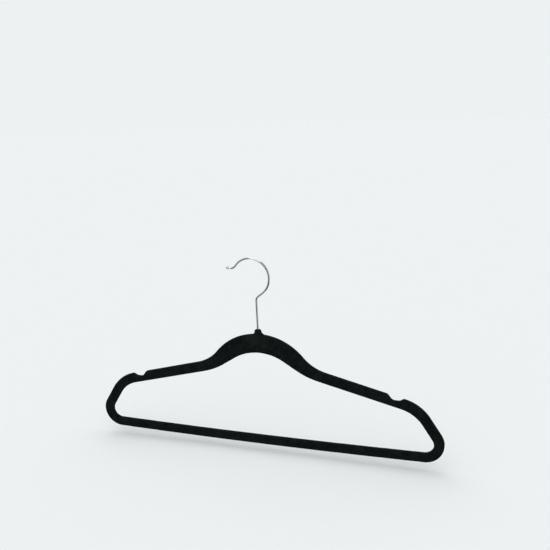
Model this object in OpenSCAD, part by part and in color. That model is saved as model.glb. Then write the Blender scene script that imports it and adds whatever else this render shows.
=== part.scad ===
// Slim flocked clothes hanger with a swivelling wire hook.
// X runs along the trouser bar, Y through the thickness, Z up the hook's stem.
// The origin is on the stem's axis, where the bowl of the hook rests on a rail.
// Heights named ..._z are measured from the ends of the trouser bar's underside.

/* [Frame] */
// Overall width, end to end
hanger_w = 445; // [425:1:465]
// Height of the crown's top
crown_z = 143.6; // [140:0.1:148]
// Thickness of the frame with its flock
hanger_t = 5; // [4.6:0.1:5.6]
// Thickness of the flock coat
flock_t = 0.5; // [0.3:0.1:0.6]
// Height of the band between the window and the crown's top
crown_band = 23.3; // [20:0.1:26]
// Height of the trouser bar
bar_h = 10.9; // [9:0.1:13]
// How far the middle of the trouser bar bows down
bar_bow = 2; // [0.5:0.1:4]

/* [Neck] */
// Height of the neck's top
neck_z = 149.8; // [149.5:0.1:152]
// Radius of the neck at its top, with its flock
neck_top_r = 4.2; // [4:0.1:5]
// Radius of the neck where it leaves the crown, with its flock
neck_base_r = 4.6; // [4.4:0.1:5.4]
// Height at which the neck's swelling dies away into the faces
swell_low_z = 128; // [126:0.5:132]

/* [Hook] */
// Diameter of the wire
wire_d = 2.4; // [2:0.1:2.8]
// Height at which the stem starts to bend
elbow_z = 187; // [182:0.5:192]
// Radius of the elbow, to the wire's middle
elbow_r = 5; // [4:0.5:7]
// How far the elbow turns, in degrees
elbow_turn = 52; // [46:1:58]
// Straight run above the elbow
rise_l = 7; // [4:0.5:9]
// Radius of the hook's side
side_r = 25; // [24:0.5:27]
// How far the side turns, in degrees
side_turn = 61; // [55:1:66]
// Radius of the bowl that sits on the rail
bowl_r = 22.6; // [21:0.1:24]
// How far the bowl turns, in degrees
bowl_turn = 133; // [128:1:138]
// Straight run before the turned-up tip
lead_l = 2; // [1:0.5:4]
// Radius of the turned-up tip
tip_r = 7.5; // [6:0.1:9]
// How far the tip turns back, in degrees
tip_turn = 82; // [70:1:95]
// Diameter of the ball on the tip
ball_d = 3.8; // [3.6:0.1:4.6]

/* [Swivel] */
// Diameter of the collar that holds the stem in the neck
collar_d = 4.6; // [4.2:0.1:4.8]
// Height of the collar
collar_h = 3.4; // [3:0.1:4]
// Height of the collar's top
collar_z = 141; // [140:0.1:142]
// Clearance between the stem and its bore, on the radius
stem_gap = 0.05; // [0.03:0.01:0.08]

/* [Hidden] */

half_w = hanger_w / 2;
window_z = crown_z - crown_band;
core_t = hanger_t - 2 * flock_t;
collar_gap = 0.1;
stem_low_z = collar_z - collar_h;
chamber_low_z = stem_low_z - 4 * collar_gap;
bore_r = wire_d / 2 + stem_gap;
mouth_r = bore_r + 0.25;
neck_edge = 1.2;
seam_w = 0.1;
seam_h = 0.01;

// Corners of the right half of the frame's outside, as [x, z, fillet radius], from the neck down
outside = [
    [2.6, crown_z + 5, 0.4],         // top of the web that joins the round neck to the crown
    [6, crown_z - 0.2, 3.9],         // foot of the web
    [36.3, crown_z - 3.6, 72],       // arch of the crown
    [half_w - 156, 104.5, 53],       // crown runs out into the shoulder
    [half_w - 66, 81.4, 3],          // inner lip of the strap notch
    [half_w - 60.2, 73.6, 7],        // foot of the notch's steep wall
    [half_w - 51.5, 73.8, 6],        // foot of its gentle wall
    [half_w - 47.3, 76.8, 4],        // outer lip
    [half_w - 26.3, 70.8, 48.5],     // shoulder rounds over into the end
    [half_w + 19.1, 0, 23.3],        // end rounds under into the trouser bar
];

// The same for the window, from its peak down
window = [
    [0, window_z + 10.8, 58],
    [half_w - 163.4, 93.2, 90],
    [half_w - 34.1, 60.4, 41.5],
    [half_w - 2.6, bar_h + 0.15, 11.5],
];

// The bar's bow is one long arc, tangent to both halves, whose corner lies twice the bow below
bow_span = half_w - 22;
bow_r = bow_span * bow_span / (2 * bar_bow);

// Where the bowl rests on the rail: its inside, straight above the stem
elbow_end = [
    elbow_r * (1 - cos(elbow_turn)) + rise_l * sin(elbow_turn),
    elbow_z + elbow_r * sin(elbow_turn) + rise_l * cos(elbow_turn),
];
side_centre = elbow_end + side_r * [-cos(elbow_turn), sin(elbow_turn)];
lean = elbow_turn - side_turn;
bowl_centre = side_centre + (side_r - bowl_r) * [cos(lean), -sin(lean)];
bowl_in_r = bowl_r - wire_d / 2;
rail_z = bowl_centre.y + sqrt(bowl_in_r * bowl_in_r - bowl_centre.x * bowl_centre.x);

// Largest distance between an arc and its chords
arc_error = 0.03;

function unit(v) = v / norm(v);

function flip(corner) = [-corner.x, corner.y, corner[2]];

// A right half and its mirror image as one closed clockwise list of corners, with one more
// corner under the middle that gives the bar its bow
function whole(half, bar_z) = concat(
    half,
    [[0, bar_z - 2 * bar_bow, bow_r]],
    [for (i = [len(half) - 1 : -1 : 0]) if (half[i].x > 0) flip(half[i])]
);

// Points on the fillet of corner c, between its neighbours p and n, moved inwards by inset
function fillet(p, c, n, inset) =
    let (
        at = [c.x, c.y],
        back = unit([p.x, p.y] - at),
        ahead = unit([n.x, n.y] - at),
        half_angle = acos(back * ahead) / 2,
        centre = at + unit(back + ahead) * c[2] / sin(half_angle),
        turn = 180 - 2 * half_angle,
        outward = cross(back, ahead) > 0,
        r = c[2] + (outward ? -inset : inset),
        steps = max(2, ceil(turn / (2 * acos(1 - arc_error / c[2])))),
        start = at + back * c[2] / tan(half_angle) - centre,
        first = atan2(start.y, start.x),
        way = outward ? -1 : 1
    )
    [for (i = [0 : steps])
        centre + r * [cos(first + way * turn * i / steps), sin(first + way * turn * i / steps)]];

// The whole outline of a closed list of corners
function rounded(corners, inset) =
    let (count = len(corners))
    [for (i = [0 : count - 1])
        each fillet(corners[(i + count - 1) % count], corners[i], corners[(i + 1) % count], inset)];

// Stand a flat outline up in the XZ plane, centred through the thickness
module upright(thickness) {
    rotate([90, 0, 0])
        linear_extrude(height = thickness, center = true)
            children();
}

// Everything is drawn from the bar's ends and then lowered to the rail
module from_rail() {
    translate([0, 0, -rail_z])
        children();
}

// The closed frame, window open, shrunk by inset all over
module frame_plate(inset) {
    upright(hanger_t - 2 * inset)
        difference() {
            polygon(rounded(whole(outside, 0), inset));
            polygon(rounded(whole(window, bar_h), -inset));
        }
}

// The round neck and its swelling down both faces of the crown, shrunk by inset all over
module neck(inset) {
    rotate_extrude($fn = 64)
        polygon([
            [0, swell_low_z - 4],
            [hanger_t / 2 - inset - 0.1, swell_low_z],
            [neck_base_r - inset, crown_z - 2],
            [neck_top_r - inset, neck_z - neck_edge],
            [neck_top_r - neck_edge, neck_z - inset],
            [0, neck_z - inset],
        ]);
}

module frame_core() {
    color([0.09, 0.09, 0.1])
        from_rail()
            difference() {
                union() {
                    frame_plate(flock_t);
                    neck(flock_t);
                }
                translate([0, 0, collar_z])
                    cylinder(r = bore_r, h = neck_z - collar_z, $fn = 48);
                translate([0, 0, chamber_low_z])
                    cylinder(r = collar_d / 2 + collar_gap, h = collar_z + stem_gap - chamber_low_z, $fn = 48);
            }
}

module flock_coat() {
    color([0.05, 0.05, 0.055])
        from_rail()
            difference() {
                union() {
                    frame_plate(0);
                    neck(0);
                }
                frame_plate(flock_t);
                neck(flock_t);
                translate([0, 0, neck_z - 2])
                    cylinder(r = mouth_r, h = 4, $fn = 48);
            }
}

// A hair-thin band round the wire, which keeps two lengths of it one solid
module seam() {
    translate([0, 0, -seam_w / 2])
        cylinder(d = wire_d + 2 * seam_h, h = seam_w, $fn = 48);
}

// Wire along +Z, then what follows it from its end
module straight(length, drawn) {
    if (drawn)
        cylinder(d = wire_d, h = length, $fn = 48);
    translate([0, 0, length]) {
        if (drawn)
            seam();
        children();
    }
}

// Wire bent in the XZ plane, to +X if turn is positive, then what follows it
module bend(radius, turn, drawn, joined = true) {
    side = sign(turn) * radius;
    if (drawn)
        rotate([0, 0, turn < 0 ? 180 : 0])
            translate([radius, 0, 0])
                rotate([90, 0, 0])
                    rotate([0, 0, 180 - abs(turn)])
                        rotate_extrude(angle = abs(turn), $fn = 96)
                            translate([radius, 0])
                                circle(d = wire_d, $fn = 48);
    translate([side, 0, 0])
        rotate([0, turn, 0])
            translate([-side, 0, 0]) {
                if (drawn && joined)
                    seam();
                children();
            }
}

// The hook's wire from its lower end to its tip, then what sits on the tip
module hook_path(drawn) {
    from_rail()
        translate([0, 0, stem_low_z])
            straight(elbow_z - stem_low_z, drawn)
            bend(elbow_r, elbow_turn, drawn)
            straight(rise_l, drawn)
            bend(side_r, -side_turn, drawn)
            bend(bowl_r, -bowl_turn, drawn)
            straight(lead_l, drawn)
            bend(tip_r, tip_turn, drawn, joined = false)
            children();
}

module hook_wire() {
    color([0.78, 0.79, 0.8])
        hook_path(true);
}

module hook_tip_ball() {
    color([0.82, 0.83, 0.84])
        hook_path(false)
            difference() {
                sphere(d = ball_d, $fn = 48);
                translate([0, 0, -ball_d])
                    cylinder(d = wire_d, h = ball_d, $fn = 48);
            }
}

module stem_collar() {
    color([0.6, 0.6, 0.62])
        from_rail()
            translate([0, 0, stem_low_z])
                difference() {
                    cylinder(d = collar_d, h = collar_h, $fn = 48);
                    translate([0, 0, -1])
                        cylinder(d = wire_d, h = collar_h + 2, $fn = 48);
                }
}

frame_core();
flock_coat();
hook_wire();
hook_tip_ball();
stem_collar();
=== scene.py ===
"""Looks of a slim flocked clothes hanger with a swivelling wire hook.

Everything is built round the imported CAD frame, in its metres and along its axes.
"""

import math

import bmesh
import bpy
from mathutils import Matrix, Quaternion, Vector
from mathutils.bvhtree import BVHTree
from mathutils.noise import fractal


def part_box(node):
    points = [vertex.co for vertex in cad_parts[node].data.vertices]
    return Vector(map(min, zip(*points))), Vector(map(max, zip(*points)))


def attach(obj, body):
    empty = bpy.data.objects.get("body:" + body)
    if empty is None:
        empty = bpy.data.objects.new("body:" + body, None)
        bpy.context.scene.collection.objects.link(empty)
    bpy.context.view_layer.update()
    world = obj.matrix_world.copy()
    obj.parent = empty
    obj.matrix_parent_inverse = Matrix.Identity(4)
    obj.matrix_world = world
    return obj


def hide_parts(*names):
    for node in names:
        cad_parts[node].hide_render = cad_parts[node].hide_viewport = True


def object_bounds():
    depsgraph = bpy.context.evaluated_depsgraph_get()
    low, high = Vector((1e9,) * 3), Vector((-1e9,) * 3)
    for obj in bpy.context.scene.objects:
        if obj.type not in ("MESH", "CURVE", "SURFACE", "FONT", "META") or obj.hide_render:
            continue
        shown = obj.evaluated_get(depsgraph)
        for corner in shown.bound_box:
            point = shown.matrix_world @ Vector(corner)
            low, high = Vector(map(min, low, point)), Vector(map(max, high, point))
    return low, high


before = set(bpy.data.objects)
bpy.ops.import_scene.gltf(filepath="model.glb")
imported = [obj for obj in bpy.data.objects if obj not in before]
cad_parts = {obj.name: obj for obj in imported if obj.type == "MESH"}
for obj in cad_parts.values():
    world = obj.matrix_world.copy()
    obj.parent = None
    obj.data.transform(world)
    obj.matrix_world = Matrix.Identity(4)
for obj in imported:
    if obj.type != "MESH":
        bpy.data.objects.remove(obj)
cad_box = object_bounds()

MM = 0.001
X_AXIS, Y_AXIS, Z_AXIS = Vector((1, 0, 0)), Vector((0, 1, 0)), Vector((0, 0, 1))

# Camera: where it looks, as angles round the object, and how
AIM = Vector((24.9, 0, -16.8)) * MM
CAMERA_AZIMUTH = math.radians(18.645)
CAMERA_ELEVATION = math.radians(15.82)
CAMERA_ROLL = math.radians(-2.515)
CAMERA_DISTANCE = 840.4 * MM
LENS = 47.13
SENSOR = 36
CLIP_START, CLIP_END = 0.01, 100

# Hook: the same run of straights and bends as the CAD wire, from its lower end
WIRE_R = 1.2 * MM
STEM_L = 49.4 * MM
ELBOW_R, ELBOW_TURN = 5 * MM, math.radians(52)
RISE_L = 7 * MM
SIDE_R, SIDE_TURN = 25 * MM, math.radians(-61)
BOWL_R, BOWL_TURN = 22.6 * MM, math.radians(-133)
LEAD_L = 2 * MM
TIP_R, TIP_TURN = 7.5 * MM, math.radians(82)
WIRE_SIDES = 32
WIRE_CHAMFER = 0.25 * MM
STRAIGHT_STEP = 1 * MM
BEND_STEP = 0.5 * MM

# Bead on the hook's tip, with a bevelled lip round the wire
LIP_WALL = 0.28 * MM
LIP_L = 0.35 * MM
LIP_GAP = 0.02 * MM
LIP_BEVEL_R, LIP_BEVEL_L = 0.06 * MM, 0.13 * MM
BEAD_SIDES = 40
BEAD_RINGS = 20

# Flock coat
FLOCK_T = 0.5 * MM
VOXEL = 0.63 * MM
EDGE_SOFTENING = 5
PILE_DEPTH = 0.045 * MM
PILE_SIZE = 1.5 * MM
PILE_ROUGHNESS, PILE_LACUNARITY, PILE_OCTAVES = 0.8, 2.0, 2
WELD = 0.001 * MM

# Hollow in the neck, for the stem and the collar
NECK_SIDES = 64
MOUTH_R = 1.5 * MM
CHAMBER_MARGIN = 0.3 * MM
CHAMBER_FLOOR = 1 * MM
PLUG_COVER = 1 * MM
CUT_PAST = 1 * MM

# Velvet: noise cells to a metre, for leaning nap, clumps of pile and single fibres
PATCH_SCALE, CLUMP_SCALE, FIBRE_SCALE = 110, 620, 2600
# Painted sheen: the velvet is painted lighter round a point in the crown under the neck, where
# light catches the swell of the neck
PAINTED_SHEEN_DEPTH = 8 * MM
PAINTED_SHEEN_REACH = 26 * MM
PAINTED_SHEEN_LIFT = 0.34

# Floor and background
FLOOR_DROP = 7 * MM
FLOOR_R = 6.0
FLOOR_SIDES = 96
PALE = (0.847, 0.880, 0.888, 1)
# Brightness that metal mirrors, from straight in front, above or behind (0) to the sides (1)
ROOM_SHADES = ((0.74, 0.12), (0.88, 0.88))
ROOM_BLUE = 1.03

# Ends of a mask
NONE, HALF, FULL = (0, 0, 0), (0.5, 0.5, 0.5), (1, 1, 1)

# Sockets of the Mix node where it mixes colours
MIX_FACTOR, MIX_A, MIX_B, MIX_RESULT = 0, 6, 7, 2


def link(obj):
    bpy.context.scene.collection.objects.link(obj)
    return obj


def new_object(name, mesh, material):
    mesh.materials.clear()
    mesh.materials.append(material)
    return link(bpy.data.objects.new(name, mesh))


def mesh_of(bm, name):
    """The bmesh as a mesh. The bmesh is used up."""
    mesh = bpy.data.meshes.new(name)
    bm.to_mesh(mesh)
    bm.free()
    return mesh


def smooth_by_angle(mesh, degrees):
    mesh.shade_smooth()
    mesh.set_sharp_from_angle(angle=math.radians(degrees))


# ---- Materials ----

class Nodes:
    """A short way to write a material's node tree."""

    def __init__(self, name):
        self.material = bpy.data.materials.new(name)
        self.material.use_nodes = True
        self.tree = self.material.node_tree
        self.bsdf = self.tree.nodes["Principled BSDF"]

    def add(self, kind, **inputs):
        node = self.tree.nodes.new(kind)
        for name, value in inputs.items():
            self.put(value, node.inputs[name.replace("_", " ")])
        return node

    def put(self, value, socket):
        if isinstance(value, bpy.types.NodeSocket):
            self.tree.links.new(value, socket)
        else:
            socket.default_value = value

    def finish(self, **inputs):
        for name, value in inputs.items():
            self.put(value, self.bsdf.inputs[name.replace("_", " ")])
        return self.material

    def place(self, output="Object"):
        return self.add("ShaderNodeTexCoord").outputs[output]

    def stretched(self, vector, scale):
        node = self.add("ShaderNodeMapping", Vector=vector)
        node.inputs["Scale"].default_value = scale
        return node.outputs["Vector"]

    def noise(self, vector, scale, detail=2.0, roughness=0.5):
        inputs = {"Vector": vector, "Scale": scale, "Detail": detail, "Roughness": roughness}
        return self.add("ShaderNodeTexNoise", **inputs).outputs["Fac"]

    def ramp(self, value, low, high):
        """From one colour to another, each given as (where, colour)."""
        node = self.add("ShaderNodeValToRGB", Fac=value)
        for band, (at, colour) in zip(node.color_ramp.elements, (low, high)):
            band.position = at
            band.color = (*colour, 1)
        return node.outputs["Color"]

    def sum(self, a, b):
        node = self.add("ShaderNodeMath")
        self.put(a, node.inputs[0])
        self.put(b, node.inputs[1])
        return node.outputs["Value"]

    def glow(self, vector, height, reach, strength):
        """Strength of a painted lightening at a point on the hanger's axis, fading to nothing
        at reach from it.
        """
        away = self.add("ShaderNodeVectorMath", Vector=vector)
        away.operation = "DISTANCE"
        away.inputs[1].default_value = (0, 0, height)
        node = self.add("ShaderNodeMapRange", Value=away.outputs["Value"])
        node.interpolation_type = "SMOOTHSTEP"
        node.inputs["From Max"].default_value = reach
        node.inputs["To Min"].default_value = strength
        node.inputs["To Max"].default_value = 0.0
        return node.outputs["Result"]

    def span(self, value, low, high):
        node = self.add("ShaderNodeMapRange", Value=value)
        node.inputs["To Min"].default_value = low
        node.inputs["To Max"].default_value = high
        return node.outputs["Result"]

    def mix(self, factor, a, b):
        node = self.tree.nodes.new("ShaderNodeMix")
        node.data_type = "RGBA"
        self.put(factor, node.inputs[MIX_FACTOR])
        self.put(a, node.inputs[MIX_A])
        self.put(b, node.inputs[MIX_B])
        return node.outputs[MIX_RESULT]

    def bump(self, height, strength, distance):
        node = self.add("ShaderNodeBump", Height=height, Strength=strength, Distance=distance)
        return node.outputs["Normal"]


def velvet_flock():
    """Short dense black pile: patches where the nap leans, clumps of pile and single fibres,
    and a painted sheen round a point in the crown under the neck.
    """
    n = Nodes("velvet_flock")
    place = n.place()
    patches = n.noise(place, PATCH_SCALE, detail=3, roughness=0.6)
    clumps = n.noise(place, CLUMP_SCALE, detail=3, roughness=0.7)
    fibres = n.noise(place, FIBRE_SCALE, detail=2, roughness=0.7)
    # Painted sheen: the nap's patches are painted lighter round a point in the crown under the
    # neck.
    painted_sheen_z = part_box("flock_coat")[1].z - PAINTED_SHEEN_DEPTH
    lean_and_painted_sheen = n.sum(patches, n.glow(place, painted_sheen_z, PAINTED_SHEEN_REACH, PAINTED_SHEEN_LIFT))
    nap = n.ramp(lean_and_painted_sheen, (0.42, (0.0020, 0.0034, 0.0034)), (0.84, (0.0098, 0.0138, 0.0124)))
    hollows = n.mix(0.15, nap, (0.0004, 0.0006, 0.0006, 1))
    crests = n.mix(0.42, nap, (0.0122, 0.0165, 0.0155, 1))
    clumped = n.mix(n.ramp(clumps, (0.42, NONE), (0.60, FULL)), hollows, crests)
    fibre_tips = n.ramp(fibres, (0.58, NONE), (0.76, HALF))
    return n.finish(
        Base_Color=n.mix(fibre_tips, clumped, (0.024, 0.029, 0.027, 1)),
        Roughness=n.span(clumps, 0.86, 1.0),
        Specular_IOR_Level=0.03,
        Sheen_Weight=0.03,
        Sheen_Roughness=0.45,
        Sheen_Tint=(0.75, 0.765, 0.78, 1),
        Normal=n.bump(n.mix(0.5, clumps, fibres), strength=0.8, distance=0.3 * MM),
    )


def moulded_abs():
    """Black moulded plastic under the flock: fine grain and faint flow marks along the bar."""
    n = Nodes("moulded_abs")
    place = n.place()
    grain = n.noise(place, 2200, detail=3)
    flow = n.noise(n.stretched(place, (8, 60, 60)), 1)
    return n.finish(
        Base_Color=n.ramp(flow, (0.3, (0.018, 0.018, 0.020)), (0.7, (0.034, 0.034, 0.037))),
        Roughness=n.span(grain, 0.42, 0.62),
        Normal=n.bump(grain, strength=0.3, distance=0.05 * MM),
    )


def plated(name, dull, bright, hairline_place, hairline_scale, smoothest, roughest):
    """Bright plating over drawn metal: hairlines along the draw and a slight cloudiness."""
    n = Nodes(name)
    at = n.place(hairline_place)
    hairlines = n.noise(n.stretched(at, hairline_scale), 1, detail=3, roughness=0.6)
    cloud = n.noise(n.place(), 160, detail=3)
    return n.finish(
        Base_Color=n.ramp(cloud, (0.3, dull), (0.7, bright)),
        Metallic=1.0,
        Roughness=n.span(hairlines, smoothest, roughest),
        Normal=n.bump(hairlines, strength=0.15, distance=0.01 * MM),
    )


def plated_wire():
    return plated(
        "plated_wire",
        dull=(0.66, 0.67, 0.68),
        bright=(0.76, 0.77, 0.78),
        hairline_place="UV",
        hairline_scale=(60, 3, 1),
        smoothest=0.08,
        roughest=0.2,
    )


def plated_ball():
    return plated(
        "plated_ball",
        dull=(0.70, 0.71, 0.72),
        bright=(0.80, 0.81, 0.82),
        hairline_place="Object",
        hairline_scale=(900, 900, 900),
        smoothest=0.25,
        roughest=0.4,
    )


def turned_steel():
    """Uncoated collar with the fine rings that a lathe leaves."""
    n = Nodes("collar_steel")
    rings = n.noise(n.stretched(n.place(), (300, 300, 14000)), 1)
    return n.finish(
        Base_Color=n.ramp(rings, (0.3, (0.36, 0.36, 0.37)), (0.7, (0.52, 0.52, 0.54))),
        Metallic=1.0,
        Roughness=n.span(rings, 0.28, 0.45),
        Normal=n.bump(rings, strength=0.3, distance=0.02 * MM),
    )


def backdrop_paper():
    n = Nodes("backdrop_paper")
    fleck = n.noise(n.place(), 700)
    return n.finish(
        Base_Color=n.ramp(fleck, (0.2, (0.802, 0.808, 0.810)), (0.8, (0.815, 0.822, 0.823))),
        Roughness=1.0,
        Specular_IOR_Level=0.0,
    )


# ---- Flock coat ----

def solid_of(*meshes):
    """One mesh holding several closed ones, which the voxel remesh then joins."""
    bm = bmesh.new()
    for mesh in meshes:
        bm.from_mesh(mesh)
    return mesh_of(bm, "joined")


def cylinder_mesh(radius, low_z, high_z):
    bm = bmesh.new()
    bmesh.ops.create_cone(
        bm,
        cap_ends=True,
        segments=NECK_SIDES,
        radius1=radius,
        radius2=radius,
        depth=high_z - low_z,
        matrix=Matrix.Translation((0, 0, (low_z + high_z) / 2)),
    )
    return mesh_of(bm, "cylinder")


def apply_modifiers(obj):
    depsgraph = bpy.context.evaluated_depsgraph_get()
    evaluated = obj.evaluated_get(depsgraph)
    mesh = bpy.data.meshes.new_from_object(evaluated, depsgraph=depsgraph)
    obj.modifiers.clear()
    obj.data = mesh


def outward_faces(coat, core):
    """A search tree of the coat's outer faces, which lie a flock's thickness off the core."""
    bm = bmesh.new()
    bm.from_mesh(core)
    inner = BVHTree.FromBMesh(bm)
    bm.clear()
    bm.from_mesh(coat)
    middles = [(face, face.calc_center_median()) for face in bm.faces]
    inward = [face for face, middle in middles if inner.find_nearest(middle)[3] < FLOCK_T / 2]
    bmesh.ops.delete(bm, geom=inward, context="FACES")
    tree = BVHTree.FromBMesh(bm)
    bm.free()
    return tree


def voxel_skin(obj, outside):
    """The outside of everything in obj as even small faces, with its edges softened."""
    remesh = obj.modifiers.new("skin", "REMESH")
    remesh.mode = "VOXEL"
    remesh.voxel_size = VOXEL
    apply_modifiers(obj)
    settle(obj.data, outside)
    soften = obj.modifiers.new("soften", "SMOOTH")
    soften.factor = 0.5
    soften.iterations = EDGE_SOFTENING
    apply_modifiers(obj)


def settle(mesh, outside):
    """Put each vertex back on the outside it was made from, to take out the voxels' steps."""
    for vertex in mesh.vertices:
        nearest, _, _, away = outside.find_nearest(vertex.co)
        if away < VOXEL:
            vertex.co = nearest


def raise_pile(mesh):
    """Clumps of pile lift the surface a little, unevenly."""
    normals = [vertex.normal.copy() for vertex in mesh.vertices]
    for vertex, normal in zip(mesh.vertices, normals):
        clump = fractal(
            vertex.co / PILE_SIZE,
            PILE_ROUGHNESS,
            PILE_LACUNARITY,
            PILE_OCTAVES,
            noise_basis="PERLIN_ORIGINAL",
        )
        vertex.co += normal * PILE_DEPTH * max(-1.0, min(1.0, clump))


def welded(mesh):
    """A copy of a CAD node's mesh with its faces joined into one closed surface."""
    bm = bmesh.new()
    bm.from_mesh(mesh)
    bmesh.ops.remove_doubles(bm, verts=bm.verts, dist=WELD)
    return mesh_of(bm, "welded")


def cut(obj, cutter_mesh):
    cutter = link(bpy.data.objects.new("cutter", cutter_mesh))
    boolean = obj.modifiers.new("cut", "BOOLEAN")
    boolean.operation = "DIFFERENCE"
    boolean.solver = "MANIFOLD"
    boolean.object = cutter
    apply_modifiers(obj)
    bpy.data.objects.remove(cutter)


def flock_coat(material):
    """A soft-edged coat over the frame, hollow where the core is, with a mouth for the stem."""
    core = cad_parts["frame_core"].data
    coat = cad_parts["flock_coat"].data
    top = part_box("flock_coat")[1].z
    collar_low, collar_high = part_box("stem_collar")
    chamber_r = collar_high.x + CHAMBER_MARGIN
    chamber_low = collar_low.z - CHAMBER_FLOOR
    chamber_high = collar_high.z + CHAMBER_MARGIN
    plug = cylinder_mesh(chamber_r, chamber_low, top - PLUG_COVER)
    obj = new_object("velvet_coat", solid_of(core, coat, plug), material)
    voxel_skin(obj, outward_faces(coat, core))
    raise_pile(obj.data)
    cut(obj, welded(core))
    cut(obj, cylinder_mesh(chamber_r, chamber_low, chamber_high))
    cut(obj, cylinder_mesh(MOUTH_R, collar_high.z, top + CUT_PAST))
    smooth_by_angle(obj.data, 50)
    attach(obj, "hanger")
    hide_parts("flock_coat")


# ---- Hook ----

def along(way):
    """The direction that is way round from +Z towards +X."""
    return Vector((math.sin(way), 0, math.cos(way)))


def across(way):
    """The direction in the XZ plane that is a right angle further round."""
    return Vector((math.cos(way), 0, -math.sin(way)))


class WirePath:
    """Points along a wire's middle, and its direction at each, in the XZ plane."""

    def __init__(self, start):
        self.points = [start]
        self.ways = [0.0]

    def add(self, point, way):
        self.points.append(point)
        self.ways.append(way)

    def straight(self, length):
        start, way = self.points[-1], self.ways[-1]
        steps = math.ceil(length / STRAIGHT_STEP)
        for i in range(1, steps + 1):
            self.add(start + along(way) * length * i / steps, way)

    def bend(self, radius, turn):
        start, first_way = self.points[-1], self.ways[-1]
        side = math.copysign(radius, turn)
        centre = start + across(first_way) * side
        steps = math.ceil(abs(turn) * radius / BEND_STEP)
        for i in range(1, steps + 1):
            way = first_way + turn * i / steps
            self.add(centre - across(way) * side, way)


def hook_path():
    """The wire from its lower end to its tip."""
    path = WirePath(Vector((0, 0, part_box("hook_wire")[0].z)))
    path.straight(STEM_L)
    path.bend(ELBOW_R, ELBOW_TURN)
    path.straight(RISE_L)
    path.bend(SIDE_R, SIDE_TURN)
    path.bend(BOWL_R, BOWL_TURN)
    path.straight(LEAD_L)
    path.bend(TIP_R, TIP_TURN)
    return path


def ring_of_verts(bm, middle, x_axis, y_axis, radius, sides):
    """New vertices evenly round a circle."""
    verts = []
    for i in range(sides):
        turn = 2 * math.pi * i / sides
        spoke = x_axis * math.cos(turn) + y_axis * math.sin(turn)
        verts.append(bm.verts.new(middle + spoke * radius))
    return verts


def shares_along(points):
    """How far along the line each point lies, from 0 to 1."""
    run = [0.0]
    for a, b in zip(points, points[1:]):
        run.append(run[-1] + (b - a).length)
    return [length / run[-1] for length in run]


def swept_tube(points, ways, radii, sides):
    """A closed round tube along points in the XZ plane, with a UV map round and along it."""
    bm = bmesh.new()
    rings = [
        ring_of_verts(bm, at, across(way), Y_AXIS, radius, sides)
        for at, way, radius in zip(points, ways, radii)
    ]
    uv = bm.loops.layers.uv.new("UVMap")
    shares = shares_along(points)
    for j in range(len(rings) - 1):
        for i in range(sides):
            k = (i + 1) % sides
            face = bm.faces.new((rings[j][i], rings[j][k], rings[j + 1][k], rings[j + 1][i]))
            corners = ((i, j), (i + 1, j), (i + 1, j + 1), (i, j + 1))
            for loop, (column, row) in zip(face.loops, corners):
                loop[uv].uv = (column / sides, shares[row])
    bm.faces.new(reversed(rings[0]))
    bm.faces.new(rings[-1])
    bmesh.ops.recalc_face_normals(bm, faces=bm.faces)
    return mesh_of(bm, "tube")


def hook_wire(material):
    """The bent wire, chamfered at its lower end."""
    path = hook_path()
    low_end = path.points[0]
    points = [low_end, low_end + Z_AXIS * WIRE_CHAMFER] + path.points[1:]
    ways = [path.ways[0]] + path.ways
    radii = [WIRE_R - WIRE_CHAMFER] + [WIRE_R] * (len(points) - 1)
    mesh = swept_tube(points, ways, radii, WIRE_SIDES)
    smooth_by_angle(mesh, 35)
    obj = new_object("bent_wire_hook", mesh, material)
    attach(obj, "hook")
    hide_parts("hook_wire")


def lathe_mesh(profile, sides):
    """A closed solid of revolution about +Z from (radius, height) pairs.

    The first and the last pair lie on the axis.
    """
    bm = bmesh.new()
    foot = bm.verts.new(Z_AXIS * profile[0][1])
    rings = [
        ring_of_verts(bm, Z_AXIS * height, X_AXIS, Y_AXIS, radius, sides)
        for radius, height in profile[1:-1]
    ]
    peak = bm.verts.new(Z_AXIS * profile[-1][1])
    for i in range(sides):
        k = (i + 1) % sides
        bm.faces.new((foot, rings[0][k], rings[0][i]))
        for low, high in zip(rings, rings[1:]):
            bm.faces.new((low[i], low[k], high[k], high[i]))
        bm.faces.new((rings[-1][i], rings[-1][k], peak))
    bmesh.ops.recalc_face_normals(bm, faces=bm.faces)
    return mesh_of(bm, "lathe")


def bead_profile(radius):
    """A sphere with a short bevelled lip at its foot, as (radius, height) pairs."""
    lip_r = WIRE_R + LIP_WALL
    lip_top = -math.sqrt(radius ** 2 - lip_r ** 2)
    lip_low = lip_top - LIP_L
    profile = [
        (0, lip_low),
        (WIRE_R + LIP_GAP, lip_low),
        (lip_r - LIP_BEVEL_R, lip_low + LIP_BEVEL_L),
    ]
    first = math.asin(lip_top / radius)
    for i in range(BEAD_RINGS):
        rise = first + (math.pi / 2 - first) * i / BEAD_RINGS
        profile.append((radius * math.cos(rise), radius * math.sin(rise)))
    profile.append((0, radius))
    return profile


def tip_ball(material):
    """The bead on the wire's end, turned the way the wire runs there."""
    low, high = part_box("hook_tip_ball")
    path = hook_path()
    mesh = lathe_mesh(bead_profile((high.y - low.y) / 2), BEAD_SIDES)
    mesh.transform(Matrix.Rotation(path.ways[-1], 4, "Y"))
    mesh.transform(Matrix.Translation(path.points[-1]))
    smooth_by_angle(mesh, 50)
    obj = new_object("tip_bead", mesh, material)
    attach(obj, "hook")
    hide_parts("hook_tip_ball")


# ---- Stage ----

def floor(material):
    """A round pale floor just under the trouser bar."""
    bm = bmesh.new()
    bmesh.ops.create_circle(bm, cap_ends=True, segments=FLOOR_SIDES, radius=FLOOR_R)
    obj = new_object("floor", mesh_of(bm, "floor"), material)
    obj.location.z = cad_box[0].z - FLOOR_DROP
    obj.visible_glossy = False


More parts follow.
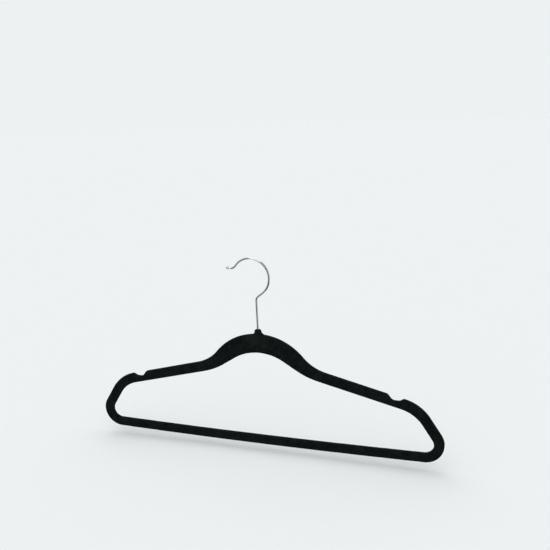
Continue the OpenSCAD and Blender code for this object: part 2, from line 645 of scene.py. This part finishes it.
def mirrored_room(nodes, links):
    """What bright metal mirrors: a room that is light at both sides and dark elsewhere."""
    way = nodes.new("ShaderNodeSeparateXYZ")
    links.new(nodes.new("ShaderNodeTexCoord").outputs["Generated"], way.inputs["Vector"])
    sideways = nodes.new("ShaderNodeMath")
    sideways.operation = "ABSOLUTE"
    links.new(way.outputs["X"], sideways.inputs[0])
    shade = nodes.new("ShaderNodeValToRGB")
    for band, (at, level) in zip(shade.color_ramp.elements, ROOM_SHADES):
        band.position = at
        band.color = (level, level, level * ROOM_BLUE, 1)
    links.new(sideways.outputs["Value"], shade.inputs["Fac"])
    room = nodes.new("ShaderNodeBackground")
    links.new(shade.outputs["Color"], room.inputs["Color"])
    return room.outputs["Background"]


def studio_world():
    """An even pale surround, except in metal, which mirrors its own room."""
    world = bpy.data.worlds.new("studio")
    world.use_nodes = True
    nodes, links = world.node_tree.nodes, world.node_tree.links
    pale = nodes["Background"]
    pale.inputs["Color"].default_value = PALE
    ray = nodes.new("ShaderNodeLightPath")
    mix = nodes.new("ShaderNodeMixShader")
    links.new(ray.outputs["Is Glossy Ray"], mix.inputs["Fac"])
    links.new(pale.outputs["Background"], mix.inputs[1])
    links.new(mirrored_room(nodes, links), mix.inputs[2])
    links.new(mix.outputs["Shader"], nodes["World Output"].inputs["Surface"])
    bpy.context.scene.world = world


def sun(name, direction, strength, spread):
    """A soft sun that shines from direction."""
    light = bpy.data.lights.new(name, "SUN")
    light.energy = strength
    light.angle = math.radians(spread)
    obj = link(bpy.data.objects.new(name, light))
    obj.rotation_mode = "QUATERNION"
    obj.rotation_quaternion = Vector(direction).to_track_quat("Z", "Y")


def softbox(name, at, size, brightness, aim=(0, 0, 0)):
    """A rectangular panel turned to aim, which only bright metal mirrors."""
    width, depth = size
    light = bpy.data.lights.new(name, "AREA")
    light.shape = "RECTANGLE"
    light.size = width
    light.size_y = depth
    light.energy = brightness * math.pi * width * depth
    obj = link(bpy.data.objects.new(name, light))
    obj.visible_diffuse = False
    obj.visible_camera = False
    obj.location = at
    obj.rotation_mode = "QUATERNION"
    obj.rotation_quaternion = (Vector(at) - Vector(aim)).to_track_quat("Z", "Y")


def lights():
    """A soft sun for the shadow, and panels for the bright stretches along the hook."""
    sun("key", direction=(-0.45, 0.25, 0.86), strength=0.75, spread=60)
    softbox("overhead", at=(0, 0, 1.0), size=(1.05, 3.0), brightness=1.25)
    softbox("front", at=(-0.12, -1.13, 0.36), size=(0.42, 0.72), brightness=1.2)
    softbox(
        "low_card",
        at=(-0.52, -0.6, -0.9),
        size=(0.3, 1.2),
        brightness=1.1,
        aim=(-0.52, 0, 0),
    )
    softbox("below", at=(0, 0, -1.0), size=(1.1, 1.2), brightness=0.8)
    softbox("fill", at=(0.30, -0.95, 0.30), size=(0.34, 0.34), brightness=2.0)


def camera():
    data = bpy.data.cameras.new("camera")
    data.lens = LENS
    data.sensor_width = SENSOR
    data.clip_start = CLIP_START
    data.clip_end = CLIP_END
    obj = link(bpy.data.objects.new("camera", data))
    flat = math.cos(CAMERA_ELEVATION)
    back = Vector((
        math.sin(CAMERA_AZIMUTH) * flat,
        -math.cos(CAMERA_AZIMUTH) * flat,
        math.sin(CAMERA_ELEVATION),
    ))
    obj.location = AIM + back * CAMERA_DISTANCE
    obj.rotation_mode = "QUATERNION"
    roll = Quaternion((0, 0, 1), CAMERA_ROLL)
    obj.rotation_quaternion = (-back).to_track_quat("-Z", "Y") @ roll
    bpy.context.scene.camera = obj


camera()
studio_world()
lights()
floor(backdrop_paper())
flock_coat(velvet_flock())
hook_wire(plated_wire())
tip_ball(plated_ball())
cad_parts["frame_core"].data.materials[0] = moulded_abs()
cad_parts["stem_collar"].data.materials[0] = turned_steel()
bpy.context.scene.view_settings.view_transform = "Standard"
